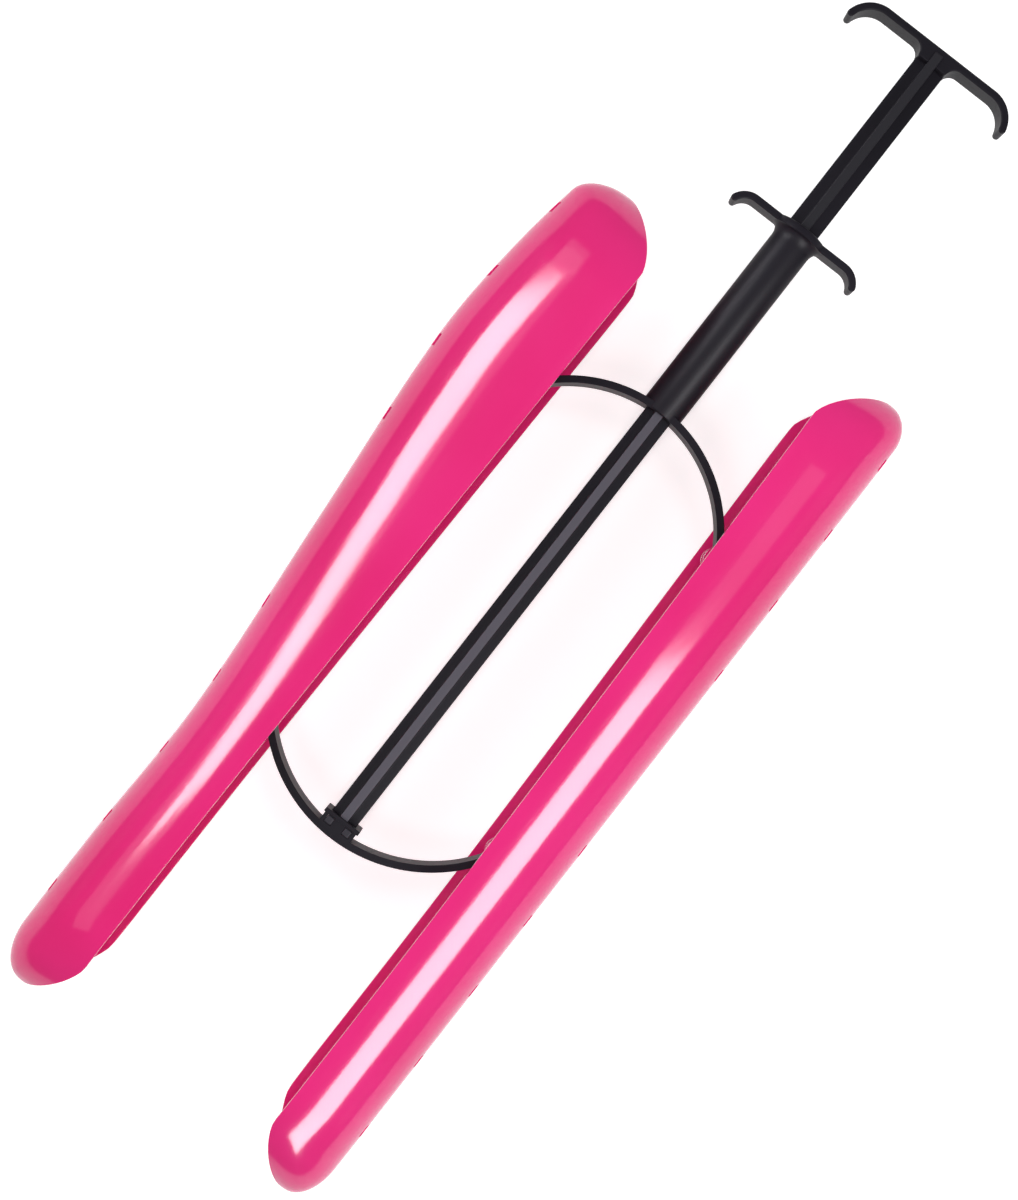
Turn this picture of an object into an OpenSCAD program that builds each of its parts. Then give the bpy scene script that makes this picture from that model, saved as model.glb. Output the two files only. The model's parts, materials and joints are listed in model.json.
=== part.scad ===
// Boot shaper: two half shells that fill the leg of a tall boot, spread by two sprung bows.
// Squeezing the palm bar towards the finger bar slides the rod down through the tube.
// The rod's bow then leaves the tube's bow, every arm folds, and the shells close together.
// The object lies flat. X runs from the rear (calf) shell to the front (shin) shell, Y runs along
// the rod towards the palm bar, and Z is up. Z is 0 under the shells, and the rod's axis is
// half a shell width above that. Stations along Y are measured from the front shell's lower end.

/* [Shells] */
// Length of each half shell
shell_len = 395.7; // [340:1:440]
// Thickness of the moulded wall
shell_wall = 2.2; // [1.6:0.1:3]
// Full width of a shell across its rims, over the calf
calf_width = 72; // [60:1:84]
// Full width of a shell across its rims, at the ankle end
ankle_width = 66; // [54:1:78]
// Roundness of the section: 2 is an ellipse, more is boxier
section_power = 2.3; // [2:0.1:3]
// Distance from the rod's axis to the rear shell's rims, at its top end
rear_rim_top = 38; // [30:0.5:44]
// Distance from the rod's axis to the rear shell's rims, at its lower end
rear_rim_low = 43.6; // [32:0.5:48]
// Distance from the rod's axis to the front shell's rims, at its top end
front_rim_top = 46.1; // [30:0.5:48]
// Distance from the rod's axis to the front shell's rims, at its lower end
front_rim_low = 50.4; // [32:0.5:52]
// How far the rear shell sits above the front shell
rear_rise = 1.2; // [0:0.1:4]
// Distance from the rod's axis to the calf line where it bulges most
calf_bulge = 89.1; // [82:0.5:100]
// Distance from the rod's axis to the calf line at the ankle
calf_ankle = 74.8; // [68:0.5:82]
// Distance from the rod's axis to the calf line at the top end
calf_top = 81; // [72:0.5:88]
// How much further out the calf line is at the lower end than at the ankle
calf_flare = 1; // [0:0.1:4]
// Distance from the rod's axis to the shin line
shin_line = 83; // [72:0.5:96]
// Distance from the rod's axis to the tips of the rear shell's rounded ends
rear_tip = 62.8; // [54:0.1:70]
// Distance from the rod's axis to the tips of the front shell's rounded ends
front_tip = 71.5; // [60:0.1:78]
// Length of the rounded ends, along the rims
nose_rim_len = 26; // [20:1:40]
// Length over which the shells narrow towards their tips
nose_width_len = 42; // [30:1:70]
// Fullness of the rounded ends along the rims: 1 is a plain point and 2 an ellipse
nose_rim_power = 1.4; // [1.3:0.05:2.2]
// Fullness of the rounded ends across the rims
nose_width_power = 1.7; // [1.3:0.05:2.2]
// Length of the rear shell's rounded lower end, along its calf line
rear_nose_low = 21; // [8:0.5:25]
// Length of the rear shell's rounded top end, along its calf line
rear_nose_top = 11.5; // [6:0.5:20]
// Length of the front shell's rounded lower end, along its shin line
front_nose_low = 19; // [8:0.5:25]
// Length of the front shell's rounded top end, along its shin line
front_nose_top = 14; // [6:0.5:20]

/* [Vents] */
// Length of a vent slot along the shell
vent_len = 5.6; // [3:0.1:8]
// Width of a vent slot round the shell
vent_width = 4.8; // [3:0.1:5.4]
// Distance between vent rows
vent_pitch = 17.56; // [14:0.1:20]
// Number of vent rows in the upper group
vent_rows_top = 7; // [3:2:8]
// Number of vent rows in the lower group
vent_rows_low = 9; // [3:2:9]
// Distance from the shell's top end to the first vent row
vent_inset_top = 22.2; // [20:0.5:32]
// Distance from the shell's lower end to the first vent row
vent_inset_low = 39.8; // [36:0.5:50]

/* [Bows] */
// Thickness of the sprung bow strips
bow_t = 3; // [2:0.1:4]
// Width of the sprung bow strips
bow_width = 15; // [12:0.5:20]
// Outer radius of the upper bow
upper_bow_r = 61.9; // [58:0.1:68]
// Outer radius of the lower bow
lower_bow_r = 66.2; // [60:0.1:70]
// Station of the upper bow's top edge on the axis
upper_bow_top = 338.6; // [332:0.5:344]
// Station of the lower bow's bottom edge on the axis
lower_bow_base = 122.6; // [116:0.5:130]
// Length of an arm, from its flexing line to its bead
arm_len = 48; // [42:0.5:52]
// Angle between an arm and the rod's axis, at rest
arm_angle = 50; // [44:0.5:56]
// Turn of the arms from rest to the stop
squeeze_angle = 30; // [10:1:32]
// Turn of the arms from rest to fully open
open_angle = 5; // [1:1:8]
// Gap at an arm's flexing line
flex_gap = 0.3; // [0.2:0.05:0.6]
// Diameter of the bead at the end of an arm
bead_d = 6.4; // [5:0.1:8]
// Radial clearance of a bead in its seat
seat_gap = 0.3; // [0.1:0.05:0.5]
// Wall round a bead in its seat
seat_wall = 2.2; // [1.6:0.1:3]
// Thickness of a seat's rib
seat_rib = 2.6; // [1.8:0.1:4]
// Distance between the outer faces of a seat's two ribs
seat_span = 13; // [9:0.5:15]
// Length of a seat's rib where it meets the shell
seat_foot = 30; // [18:1:40]
// Extra room each side of an arm's strip in its seat
seat_slack = 0.4; // [0.2:0.1:1]

/* [Tube] */
// Outer diameter of the tube
tube_d = 17.8; // [17.2:0.1:22]
// Station of the finger bar's top face
finger_top = 428.5; // [405:0.5:450]
// Overall length of the finger bar
finger_span = 61.6; // [50:0.5:76]
// Outer radius of the finger bar's curved ends
finger_hook_r = 9.5; // [7:0.5:13]
// Sweep of the finger bar's curved ends
finger_hook_angle = 66; // [40:1:85]
// Radius of the flare where the tube meets the finger bar
flare_r = 12; // [11:0.25:15]
// Height of that flare
flare_h = 4.8; // [3:0.2:8]
// Radial clearance round the rod and the stem
slide_gap = 0.3; // [0.15:0.05:0.5]

/* [Rod] */
// Width of the cross section of the rod, below the tube
rod_width = 11.8; // [10:0.1:12.4]
// Width of the cross section of the stem, above the rod
stem_width = 13.6; // [13:0.1:14.6]
// Thickness of the cross section's ribs
rod_rib = 3.8; // [2.6:0.1:5]
// Station of the palm bar's top face
palm_top = 519.1; // [495:0.5:545]
// Overall length of the palm bar
palm_span = 79; // [66:0.5:96]
// Outer radius of the palm bar's curved ends
palm_hook_r = 13.5; // [9:0.5:17]
// Sweep of the palm bar's curved ends
palm_hook_angle = 76; // [40:1:88]
// Radius of the fillets under the palm bar
palm_fillet_r = 4.6; // [2:0.2:7]
// Thickness of both bars
bar_t = 3; // [2.4:0.1:4]
// Width of both bars
bar_width = 12; // [10:0.5:18]

/* [Lower socket] */
// Width of the socket that holds the rod's end
socket_width = 15.4; // [14:0.1:18]
// Station of the socket's top edge
socket_top = 131.6; // [128:0.1:140]
// How far the socket's lip stands out
lip_out = 0.7; // [0.3:0.1:1.5]
// Height of the socket's lip
lip_h = 1.6; // [0.8:0.1:2.4]
// How far the lip's top stands over the socket's edge
lip_over = 0.2; // [0.1:0.1:0.6]
// Thickness of the socket's floor over the bow
socket_floor = 0.8; // [0.5:0.1:2]
// Clearance between the rod's end and the socket
socket_gap = 0.1; // [0.05:0.05:0.3]
// Side of the rod's snap lugs, which show in the socket's windows
lug_side = 3.2; // [2:0.1:3.6]
// How far the lugs stand out of the socket's windows
lug_proud = 0.3; // [0.1:0.1:0.8]

/* [Hidden] */
$fn = 96;
shell_colour = "#e0307a";
handle_colour = "#2b292e";
eps = 0.01;

// The object's own frame: the bounding box is centred on X and Y and stands on Z = 0.
axis_x = (calf_bulge - shin_line) / 2;
mid_y = palm_top / 2;
axis_z = max(calf_width, ankle_width) / 2;

// Outlines of the shells, as [station, distance from the axis].
ankle_at = 0.33 * shell_len;
bulge_at = 0.775 * shell_len;
calf_outline = [[0, calf_ankle + calf_flare], [ankle_at / 2, calf_ankle + calf_flare],
                [ankle_at, calf_ankle],
                [(ankle_at + bulge_at) / 2, (calf_ankle + calf_bulge) / 2],
                [bulge_at, calf_bulge],
                [(bulge_at + shell_len) / 2, calf_bulge - (calf_bulge - calf_top) / 4],
                [shell_len, calf_top]];
shin_outline = [[0, shin_line], [shell_len, shin_line]];
rear_rims = [[0, rear_rim_low], [shell_len / 3, rear_rim_low - 1], [shell_len, rear_rim_top]];
front_rims = [[0, front_rim_low], [shell_len / 3, front_rim_low], [shell_len, front_rim_top]];

// Lengths of the rounded ends, as [lower end, top end].
rim_noses = [nose_rim_len, nose_rim_len];
width_noses = [nose_width_len, nose_width_len];
rear_noses = [rear_nose_low, rear_nose_top];
front_noses = [front_nose_low, front_nose_top];

// Bow geometry. Every arm has the same length and rest angle, so the shells stay parallel.
upper_mid_r = upper_bow_r - bow_t / 2;
lower_mid_r = lower_bow_r - bow_t / 2;
upper_centre = upper_bow_top - upper_bow_r;
lower_centre = lower_bow_base + lower_bow_r;
upper_reach = asin(arm_len / 2 / upper_mid_r);
lower_reach = asin(arm_len / 2 / lower_mid_r);
upper_flex = polar(upper_mid_r, 90 - arm_angle - upper_reach);
upper_bead = polar(upper_mid_r, 90 - arm_angle + upper_reach);
lower_flex = polar(lower_mid_r, 90 - arm_angle - lower_reach);
lower_bead = polar(lower_mid_r, 90 - arm_angle + lower_reach);
stroke = 2 * arm_len * (cos(arm_angle - squeeze_angle) - cos(arm_angle));

// Bores and ends of the sliding parts.
stem_bore = norm([stem_width, rod_rib]) + 2 * slide_gap;
rod_bore = norm([rod_width, rod_rib]) + 2 * slide_gap;
step_at = upper_bow_top + stroke + slide_gap;
socket_base = lower_bow_base + bow_t + socket_floor;
lug_top = socket_top - lip_h - 2 * socket_gap;

// A point on a bow's middle line, turned from the Y axis towards +X.
function polar(r, turn) = [r * sin(turn), r * cos(turn)];

// Smooth curve through a list of [station, value] points.
function slope(p, i) =
    i == 0 ? (p[1][1] - p[0][1]) / (p[1][0] - p[0][0])
    : i == len(p) - 1 ? (p[i][1] - p[i - 1][1]) / (p[i][0] - p[i - 1][0])
    : (p[i + 1][1] - p[i - 1][1]) / (p[i + 1][0] - p[i - 1][0]);
function span_of(p, y, i = 0) = (i >= len(p) - 2 || y < p[i + 1][0]) ? i : span_of(p, y, i + 1);
function hermite(p, y, i) =
    let (h = p[i + 1][0] - p[i][0], t = (y - p[i][0]) / h)
    (1 + 2 * t) * pow(1 - t, 2) * p[i][1] + t * t * (3 - 2 * t) * p[i + 1][1]
    + h * t * pow(1 - t, 2) * slope(p, i) - h * t * t * (1 - t) * slope(p, i + 1);
function curve(p, y) = hermite(p, min(max(y, 0), shell_len), span_of(p, y));

// Half the width across the rims. It widens smoothly from the ankle to the calf.
function half_width(y) =
    let (t = min(max((y - ankle_at) / (bulge_at - ankle_at), 0), 1))
    (ankle_width + (calf_width - ankle_width) * t * t * (3 - 2 * t)) / 2;

// Rounded end: 0 at the tip, 1 from the nose length inwards. The inner face's tip is inset.
function nose(y, lengths, power, inset) =
    let (low = y < shell_len / 2,
         d = ((low ? y : shell_len - y) - inset) / (lengths[low ? 0 : 1] - inset))
    d >= 1 ? 1 : pow(max(0, 1 - pow(1 - max(d, 0), power)), 1 / power);

// Distance of a wall point from the axis, and its height over the middle plane.
// turn runs from -90 at one rim to 90 at the other; inset is the depth below the outer face.
function wall_point(outline, rims, tip, noses, y, turn, inset) =
    let (rim = tip + (curve(rims, y) - tip) * nose(y, rim_noses, nose_rim_power, inset),
         back = tip + (curve(outline, y) - inset - tip) * nose(y, noses, 2, inset),
         half = (half_width(y) - inset) * nose(y, width_noses, nose_width_power, inset),
         c = pow(abs(cos(turn)), 2 / section_power),
         s = pow(abs(sin(turn)), 2 / section_power))
    [rim + (back - rim) * c, sign(turn) * half * s];

// Angle round the section at a height over the middle plane.
function turn_at(height) =
    asin(pow(min(1, height / (calf_width / 2 - shell_wall)), section_power / 2));

// The inner face ends one wall short of the tips.
function inner_station(y) =
    let (d = min(y, shell_len - y), inner = shell_wall + d * (1 - shell_wall / nose_rim_len))
    d >= nose_rim_len ? y : y < shell_len / 2 ? inner : shell_len - inner;

// Stations of the vent rows, and of the mesh rings that pass their edges.
rows = concat([for (i = [0 : vent_rows_low - 1]) vent_inset_low + i * vent_pitch],
              [for (i = [vent_rows_top - 1 : -1 : 0])
                  shell_len - vent_inset_top - i * vent_pitch]);
nose_rings = [for (a = [15 : 15 : 90]) nose_rim_len * (1 - cos(a))];
plain_low = rows[vent_rows_low - 1] + vent_len;
plain_high = rows[vent_rows_low] - vent_len;
rings = concat([0],
               [for (d = nose_rings) if (d < rows[0] - vent_len / 2 - 1) d],
               [for (i = [0 : vent_rows_low - 1]) for (e = [-1, 1]) rows[i] + e * vent_len / 2],
               [for (i = [1 : 3]) plain_low + (plain_high - plain_low) * i / 4],
               [for (i = [vent_rows_low : len(rows) - 1]) for (e = [-1, 1])
                   rows[i] + e * vent_len / 2],
               [for (i = [len(nose_rings) - 1 : -1 : 0])
                   if (nose_rings[i] < vent_inset_top - vent_len / 2 - 1)
                       shell_len - nose_rings[i]],
               [shell_len]);

// Angles round the section. The vents fill five columns in the middle.
vent_edges = [for (i = [0 : 2]) turn_at((i + 0.5) * vent_width)];
side_turns = [for (i = [1 : 5]) vent_edges[2] + (90 - vent_edges[2]) * i / 5];
turns = concat([for (i = [4 : -1 : 0]) -side_turns[i]], [for (i = [2 : -1 : 0]) -vent_edges[i]],
               vent_edges, side_turns);
mid_cell = (len(turns) - 2) / 2;

// Rows alternate between three slots and two, like bricks. The first of each group has three.
function row_index(y0, y1) =
    [for (i = [0 : len(rows) - 1]) if (abs((y0 + y1) / 2 - rows[i]) < vent_len / 4) i];
function slots_in(i) = (i < vent_rows_low ? i : len(rows) - 1 - i) % 2 == 0 ? 0 : 1;
function is_vent(i, j) =
    let (row = row_index(rings[i], rings[i + 1]), col = abs(j - mid_cell))
    len(row) > 0 && col <= 2 && col % 2 == slots_in(row[0]);

// One half shell as a closed mesh: an outer and an inner face, joined along the rims and vents.
// side is 1 for the shell on the +X side and -1 for the one on the -X side.
module shell_skin(side, outline, rims, tip, noses) {
    n = len(turns);
    last = len(rings) - 1;
    layer = [for (inset = [0, shell_wall]) for (i = [1 : last - 1]) for (turn = turns)
        let (y = inset > 0 ? inner_station(rings[i]) : rings[i],
             p = wall_point(outline, rims, tip, noses, y, turn, inset))
        [side * p[0], y, p[1]]];
    apexes = [for (y = [0, shell_len, shell_wall, shell_len - shell_wall]) [side * tip, y, 0]];
    base = len(layer);
    function at(skin, i, j) =
        i == 0 ? base + 2 * skin : i == last ? base + 2 * skin + 1
        : skin * (last - 1) * n + (i - 1) * n + j;
    function face(skin, i, j) =
        i == 0 ? [at(skin, 0, j), at(skin, 1, j), at(skin, 1, j + 1)]
        : i == last - 1 ? [at(skin, i, j), at(skin, last, j), at(skin, i, j + 1)]
        : [at(skin, i, j), at(skin, i + 1, j), at(skin, i + 1, j + 1), at(skin, i, j + 1)];
    function flip(f) = [for (k = [len(f) - 1 : -1 : 0]) f[k]];
    function wall(i0, j0, i1, j1) = [at(0, i0, j0), at(0, i1, j1), at(1, i1, j1), at(1, i0, j0)];
    faces = concat(
        [for (i = [0 : last - 1]) for (j = [0 : n - 2]) if (!is_vent(i, j)) flip(face(0, i, j))],
        [for (i = [0 : last - 1]) for (j = [0 : n - 2]) if (!is_vent(i, j)) face(1, i, j)],
        [for (i = [0 : last - 1]) flip(wall(i, 0, i + 1, 0))],
        [for (i = [0 : last - 1]) wall(i, n - 1, i + 1, n - 1)],
        [for (i = [0 : last - 1]) for (j = [0 : n - 2]) if (is_vent(i, j))
            for (w = [wall(i, j, i + 1, j), wall(i + 1, j, i + 1, j + 1),
                      wall(i + 1, j + 1, i, j + 1), wall(i, j + 1, i, j)]) w]);
    polyhedron(points = concat(layer, apexes), convexity = 8,
               faces = side > 0 ? faces : [for (f = faces) flip(f)]);
}

// Snap seat for one bead: two ribs on the shell's wall, each with a notch that grips the bead.
// way is 1 where the arm comes from above and -1 where it comes from below.
module seat(outline, rims, tip, noses, bead, station, way, tangent) {
    grip_r = bead_d / 2 + seat_gap;
    ring_r = grip_r + seat_wall;
    slot_half = bow_t / 2 + seat_slack;
    rib_z = (seat_span - seat_rib) / 2;
    foot = [for (k = [-1 : 0.5 : 1])
        let (y = station + way * k * seat_foot / 2,
             outer = wall_point(outline, rims, tip, noses, y, turn_at(rib_z), 0)[0])
        [outer - shell_wall / 2, y - station]];
    for (side = [-1, 1])
        translate([bead, station, side * rib_z - seat_rib / 2])
            linear_extrude(seat_rib)
                difference() {
                    union() {
                        circle(ring_r);
                        polygon(concat([for (p = foot) [p[0] - bead, p[1]]],
                                       [[0, way * ring_r], [0, -way * ring_r]]));
                    }
                    circle(grip_r);
                    scale([1, way])
                        for (turn = [tangent - squeeze_angle, tangent + open_angle])
                            rotate(turn)
                                translate([0, -slot_half])
                                    square([3 * ring_r, 2 * slot_half]);
                    scale([1, way])
                        polygon([[0, 0], 3 * ring_r * [cos(tangent - squeeze_angle),
                                                       sin(tangent - squeeze_angle)],
                                 3 * ring_r * [cos(tangent + open_angle),
                                               sin(tangent + open_angle)]]);
                }
}

// A shell with its two seats, at its own lower end's station.
module half_shell(side, outline, rims, tip, noses, rise) {
    upper_tangent = 90 + arm_angle - upper_reach;
    lower_tangent = 90 + arm_angle - lower_reach;
    upper_at = upper_centre + upper_bead[1] - rise;
    lower_at = lower_centre - lower_bead[1] - rise;
    shell_skin(side, outline, rims, tip, noses);
    mirror([side > 0 ? 0 : 1, 0, 0]) {
        seat(outline, rims, tip, noses, upper_bead[0], upper_at, 1, upper_tangent);
        seat(outline, rims, tip, noses, lower_bead[0], lower_at, -1, lower_tangent);
    }
}

// Puts what is modelled about the rod's axis into the object's own frame.
module placed() {
    translate([axis_x, -mid_y, axis_z]) children();
}

module rear_shell() {
    color(shell_colour)
        placed()
            translate([0, rear_rise, 0])
                half_shell(-1, calf_outline, rear_rims, rear_tip, rear_noses, rear_rise);
}

module front_shell() {
    color(shell_colour)
        placed()
            half_shell(1, shin_outline, front_rims, front_tip, front_noses, 0);
}

// Part of a bow's strip, between two angles from the Y axis, about the bow's centre.
module strip(mid_r, from, to) {
    far = 2 * mid_r;
    translate([0, 0, -bow_width / 2])
        linear_extrude(bow_width)
            intersection() {
                difference() {
                    circle(mid_r + bow_t / 2);
                    circle(mid_r - bow_t / 2);
                }
                polygon([[0, 0], polar(far, from), polar(far, (from + to) / 2), polar(far, to)]);
            }
}

module cross_pin(d, width) {
    translate([0, 0, -width / 2]) cylinder(d = d, h = width);
}

// One arm on the +X side of a bow that opens downwards, with a bead at its free end.
module arm(mid_r, reach) {
    mid = 90 - arm_angle;
    difference() {
        strip(mid_r, mid - reach, mid + reach);
        translate(polar(mid_r, mid - reach)) cross_pin(bow_t + 2 * flex_gap, bow_width + 1);
    }
    translate(polar(mid_r, mid + reach)) cross_pin(bead_d, bow_width);
}

module upper_front_arm() {
    color(handle_colour) placed() translate([0, upper_centre, 0]) arm(upper_mid_r, upper_reach);
}

module upper_rear_arm() {
    color(handle_colour)
        placed()
            translate([0, upper_centre, 0])
                mirror([1, 0, 0])
                    arm(upper_mid_r, upper_reach);
}

module lower_front_arm() {
    color(handle_colour)
        placed()
            translate([0, lower_centre, 0])
                mirror([0, 1, 0])
                    arm(lower_mid_r, lower_reach);
}

module lower_rear_arm() {
    color(handle_colour)
        placed()
            translate([0, lower_centre, 0])
                rotate([0, 0, 180])
                    arm(lower_mid_r, lower_reach);
}

// The middle of a bow, up to the flexing lines of its two arms, which it ends in round edges.
module bow_root(mid_r, flex) {
    turn = atan2(flex[0], flex[1]);
    strip(mid_r, -turn, turn);
    for (side = [-1, 1])
        translate([side * flex[0], flex[1], 0]) cross_pin(bow_t, bow_width);
}

// Flat bar with both ends curved down, seen along Z. Its top face is on Y = 0.
module hooked_bar(span, hook_r, hook_angle) {
    mid_r = hook_r - bar_t / 2;
    flat_half = span / 2 - mid_r * sin(hook_angle) - bar_t / 2 * max(sin(hook_angle), 0.8);
    translate([0, 0, -bar_width / 2])
        linear_extrude(bar_width) {
            translate([-flat_half, -bar_t]) square([2 * flat_half, bar_t]);
            for (side = [0, 1])
                mirror([side, 0])
                    translate([flat_half, -hook_r]) {
                        intersection() {
                            difference() {
                                circle(hook_r);
                                circle(hook_r - bar_t);
                            }
                            polygon([[0, 0], [0, 2 * hook_r], [2 * hook_r, 2 * hook_r],
                                     2 * hook_r * [sin(hook_angle), cos(hook_angle)]]);
                        }
                        translate(mid_r * [sin(hook_angle), cos(hook_angle)]) circle(d = bar_t);
                    }
        }
}

// Round bar along Y, between two stations.
module round_bar(d, from, to) {
    translate([0, from, 0]) rotate([-90, 0, 0]) cylinder(d = d, h = to - from);
}

module outer_tube() {
    bar_base = finger_top - bar_t;
    color(handle_colour)
        placed()
            difference() {
                union() {
                    round_bar(tube_d, upper_bow_top - bow_t, bar_base);
                    translate([0, bar_base - flare_h, 0])
                        rotate([-90, 0, 0])
                            cylinder(r1 = tube_d / 2, r2 = flare_r, h = flare_h);
                    round_bar(2 * flare_r, bar_base, finger_top);
                    translate([0, finger_top, 0])
                        hooked_bar(finger_span, finger_hook_r, finger_hook_angle);
                    translate([0, upper_centre, 0]) bow_root(upper_mid_r, upper_flex);
                }
                round_bar(stem_bore, upper_bow_top, finger_top + 1);
                round_bar(rod_bore, upper_bow_top - 2 * bow_t, upper_bow_top + 1);
            }
}

// Square block along Y, between two stations.
module block(width, from, to) {
    translate([-width / 2, from, -width / 2]) cube([width, to - from, width]);
}

// Bar of cross-shaped section along Y, between two stations.
module cross_bar(width, from, to) {
    for (size = [[width, rod_rib], [rod_rib, width]])
        translate([-size[0] / 2, from, -size[1] / 2])
            cube([size[0], to - from, size[1]]);
}

module pull_rod() {
    bar_base = palm_top - bar_t;
    color(handle_colour)
        placed() {
            cross_bar(rod_width, socket_base + socket_gap, step_at);
            cross_bar(stem_width, step_at, bar_base + eps);
            translate([0, palm_top, 0]) hooked_bar(palm_span, palm_hook_r, palm_hook_angle);
            translate([0, bar_base, -bar_width / 2])
                linear_extrude(bar_width)
                    difference() {
                        translate([-stem_width / 2 - palm_fillet_r, -palm_fillet_r])
                            square([stem_width + 2 * palm_fillet_r, palm_fillet_r + eps]);
                        for (side = [-1, 1])
                            translate([side * (stem_width / 2 + palm_fillet_r), -palm_fillet_r])
                                circle(palm_fillet_r);
                    }
            lugs(0);
        }
}

// The rod's four snap lugs. Each fills a corner of the cross section, and its head stands out
// of a window in the socket.
module lugs(grow) {
    out = rod_width / 2;
    head = [lug_side, lug_side, socket_width / 2 + lug_proud] + grow * [2, 2, 1];
    for (turn = [0, 180])
        rotate([0, turn, 0])
            for (side = [0, 1])
                mirror([side, 0, 0]) {
                    translate([out - lug_side - grow, lug_top - lug_side - grow, 0]) cube(head);
                    if (grow == 0)
                        translate([0, lug_top - lug_side, 0]) cube([out, lug_side, out]);
                }
}

module lower_bow_hub() {
    bow_top = lower_bow_base + bow_t;
    socket_hole = rod_width + 2 * socket_gap;
    lip_width = socket_width + 2 * lip_out;
    color(handle_colour)
        placed()
            difference() {
                union() {
                    translate([0, lower_centre, 0])
                        mirror([0, 1, 0]) bow_root(lower_mid_r, lower_flex);
                    block(socket_width, bow_top - bow_t / 2, socket_top);
                    block(lip_width, socket_top - lip_h, socket_top + lip_over);
                }
                block(socket_hole, socket_base, socket_top + 2 * lip_over);
                lugs(socket_gap);
            }
}

rear_shell();
front_shell();
outer_tube();
upper_rear_arm();
upper_front_arm();
pull_rod();
lower_bow_hub();
lower_rear_arm();
lower_front_arm();
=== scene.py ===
"""Looks of the boot shaper: pink moulded half shells, black rod, tube and sprung bows.

Shapes are worked out in millimetres about the rod's axis, as in the part's own source: x from the
axis, y along the rod from the front shell's lower end, z above the middle plane. place() turns such
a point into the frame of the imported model.
"""
import json
import math
from collections import namedtuple
import bmesh
import bpy
from mathutils import Matrix, Vector

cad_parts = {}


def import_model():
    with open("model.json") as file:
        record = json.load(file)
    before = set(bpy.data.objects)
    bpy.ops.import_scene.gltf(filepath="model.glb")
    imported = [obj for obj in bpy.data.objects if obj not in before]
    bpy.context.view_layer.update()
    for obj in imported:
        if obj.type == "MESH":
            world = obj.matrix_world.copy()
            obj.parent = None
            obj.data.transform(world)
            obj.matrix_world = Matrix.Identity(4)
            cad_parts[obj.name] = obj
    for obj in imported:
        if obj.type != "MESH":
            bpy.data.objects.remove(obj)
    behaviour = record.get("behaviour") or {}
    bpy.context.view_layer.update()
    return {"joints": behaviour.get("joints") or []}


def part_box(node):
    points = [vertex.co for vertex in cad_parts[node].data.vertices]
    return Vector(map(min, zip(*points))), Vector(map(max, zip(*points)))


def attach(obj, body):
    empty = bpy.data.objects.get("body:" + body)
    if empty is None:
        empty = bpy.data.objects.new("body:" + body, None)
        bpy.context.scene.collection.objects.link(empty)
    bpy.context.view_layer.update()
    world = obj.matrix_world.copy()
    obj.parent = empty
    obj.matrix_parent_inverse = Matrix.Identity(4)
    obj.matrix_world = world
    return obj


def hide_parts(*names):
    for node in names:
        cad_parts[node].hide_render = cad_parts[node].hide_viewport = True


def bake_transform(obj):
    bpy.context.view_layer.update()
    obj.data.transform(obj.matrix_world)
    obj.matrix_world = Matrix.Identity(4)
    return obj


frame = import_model()

# The rod's axis and the first station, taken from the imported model
joint_at = {joint["name"]: Vector(joint["pos_m"]) for joint in frame["joints"]}
AXIS_X = (joint_at["squeeze"].x + joint_at["upper_front_flex"].x) / 2
AXIS_Z = joint_at["squeeze"].z
START_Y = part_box("front_shell")[0].y
MM = 0.001


def place(x, y, z):
    """A point in millimetres about the rod's axis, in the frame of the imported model."""
    return Vector((AXIS_X + x * MM, START_Y + y * MM, AXIS_Z + z * MM))


def local(point):
    """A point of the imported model, in millimetres about the rod's axis."""
    return (point - Vector((AXIS_X, START_Y, AXIS_Z))) / MM


# Sizes of the shells
SHELL_LEN = 395.7
SHELL_WALL = 2.2
CALF_WIDTH = 72
ANKLE_WIDTH = 66
SECTION_POWER = 2.3
REAR_RISE = 1.2
NOSE_RIM_LEN, NOSE_RIM_POWER = 26, 1.4
NOSE_WIDTH_LEN, NOSE_WIDTH_POWER = 42, 1.7
REAR_NOSES, FRONT_NOSES = (21, 11.5), (19, 14)
ANKLE_AT = 0.33 * SHELL_LEN
BULGE_AT = 0.775 * SHELL_LEN
CALF_BULGE, CALF_ANKLE, CALF_TOP, CALF_FLARE = 89.1, 74.8, 81, 1
SHIN_LINE = 83
CALF_OUTLINE = [(0, CALF_ANKLE + CALF_FLARE), (ANKLE_AT / 2, CALF_ANKLE + CALF_FLARE),
                (ANKLE_AT, CALF_ANKLE), ((ANKLE_AT + BULGE_AT) / 2, (CALF_ANKLE + CALF_BULGE) / 2),
                (BULGE_AT, CALF_BULGE),
                ((BULGE_AT + SHELL_LEN) / 2, CALF_BULGE - (CALF_BULGE - CALF_TOP) / 4),
                (SHELL_LEN, CALF_TOP)]
SHIN_OUTLINE = [(0, SHIN_LINE), (SHELL_LEN, SHIN_LINE)]
REAR_RIMS = [(0, 43.6), (SHELL_LEN / 3, 42.6), (SHELL_LEN, 38)]
FRONT_RIMS = [(0, 50.4), (SHELL_LEN / 3, 50.4), (SHELL_LEN, 46.1)]
REAR_TIP, FRONT_TIP = 62.8, 71.5

# Vents in the shells
VENT_LEN, VENT_WIDTH, VENT_PITCH = 5.6, 4.8, 17.56
VENT_ROWS_TOP, VENT_ROWS_LOW = 7, 9
VENT_INSET_TOP, VENT_INSET_LOW = 22.2, 39.8
VENT_ROWS = ([VENT_INSET_LOW + i * VENT_PITCH for i in range(VENT_ROWS_LOW)]
             + [SHELL_LEN - VENT_INSET_TOP - i * VENT_PITCH
                for i in reversed(range(VENT_ROWS_TOP))])

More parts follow.
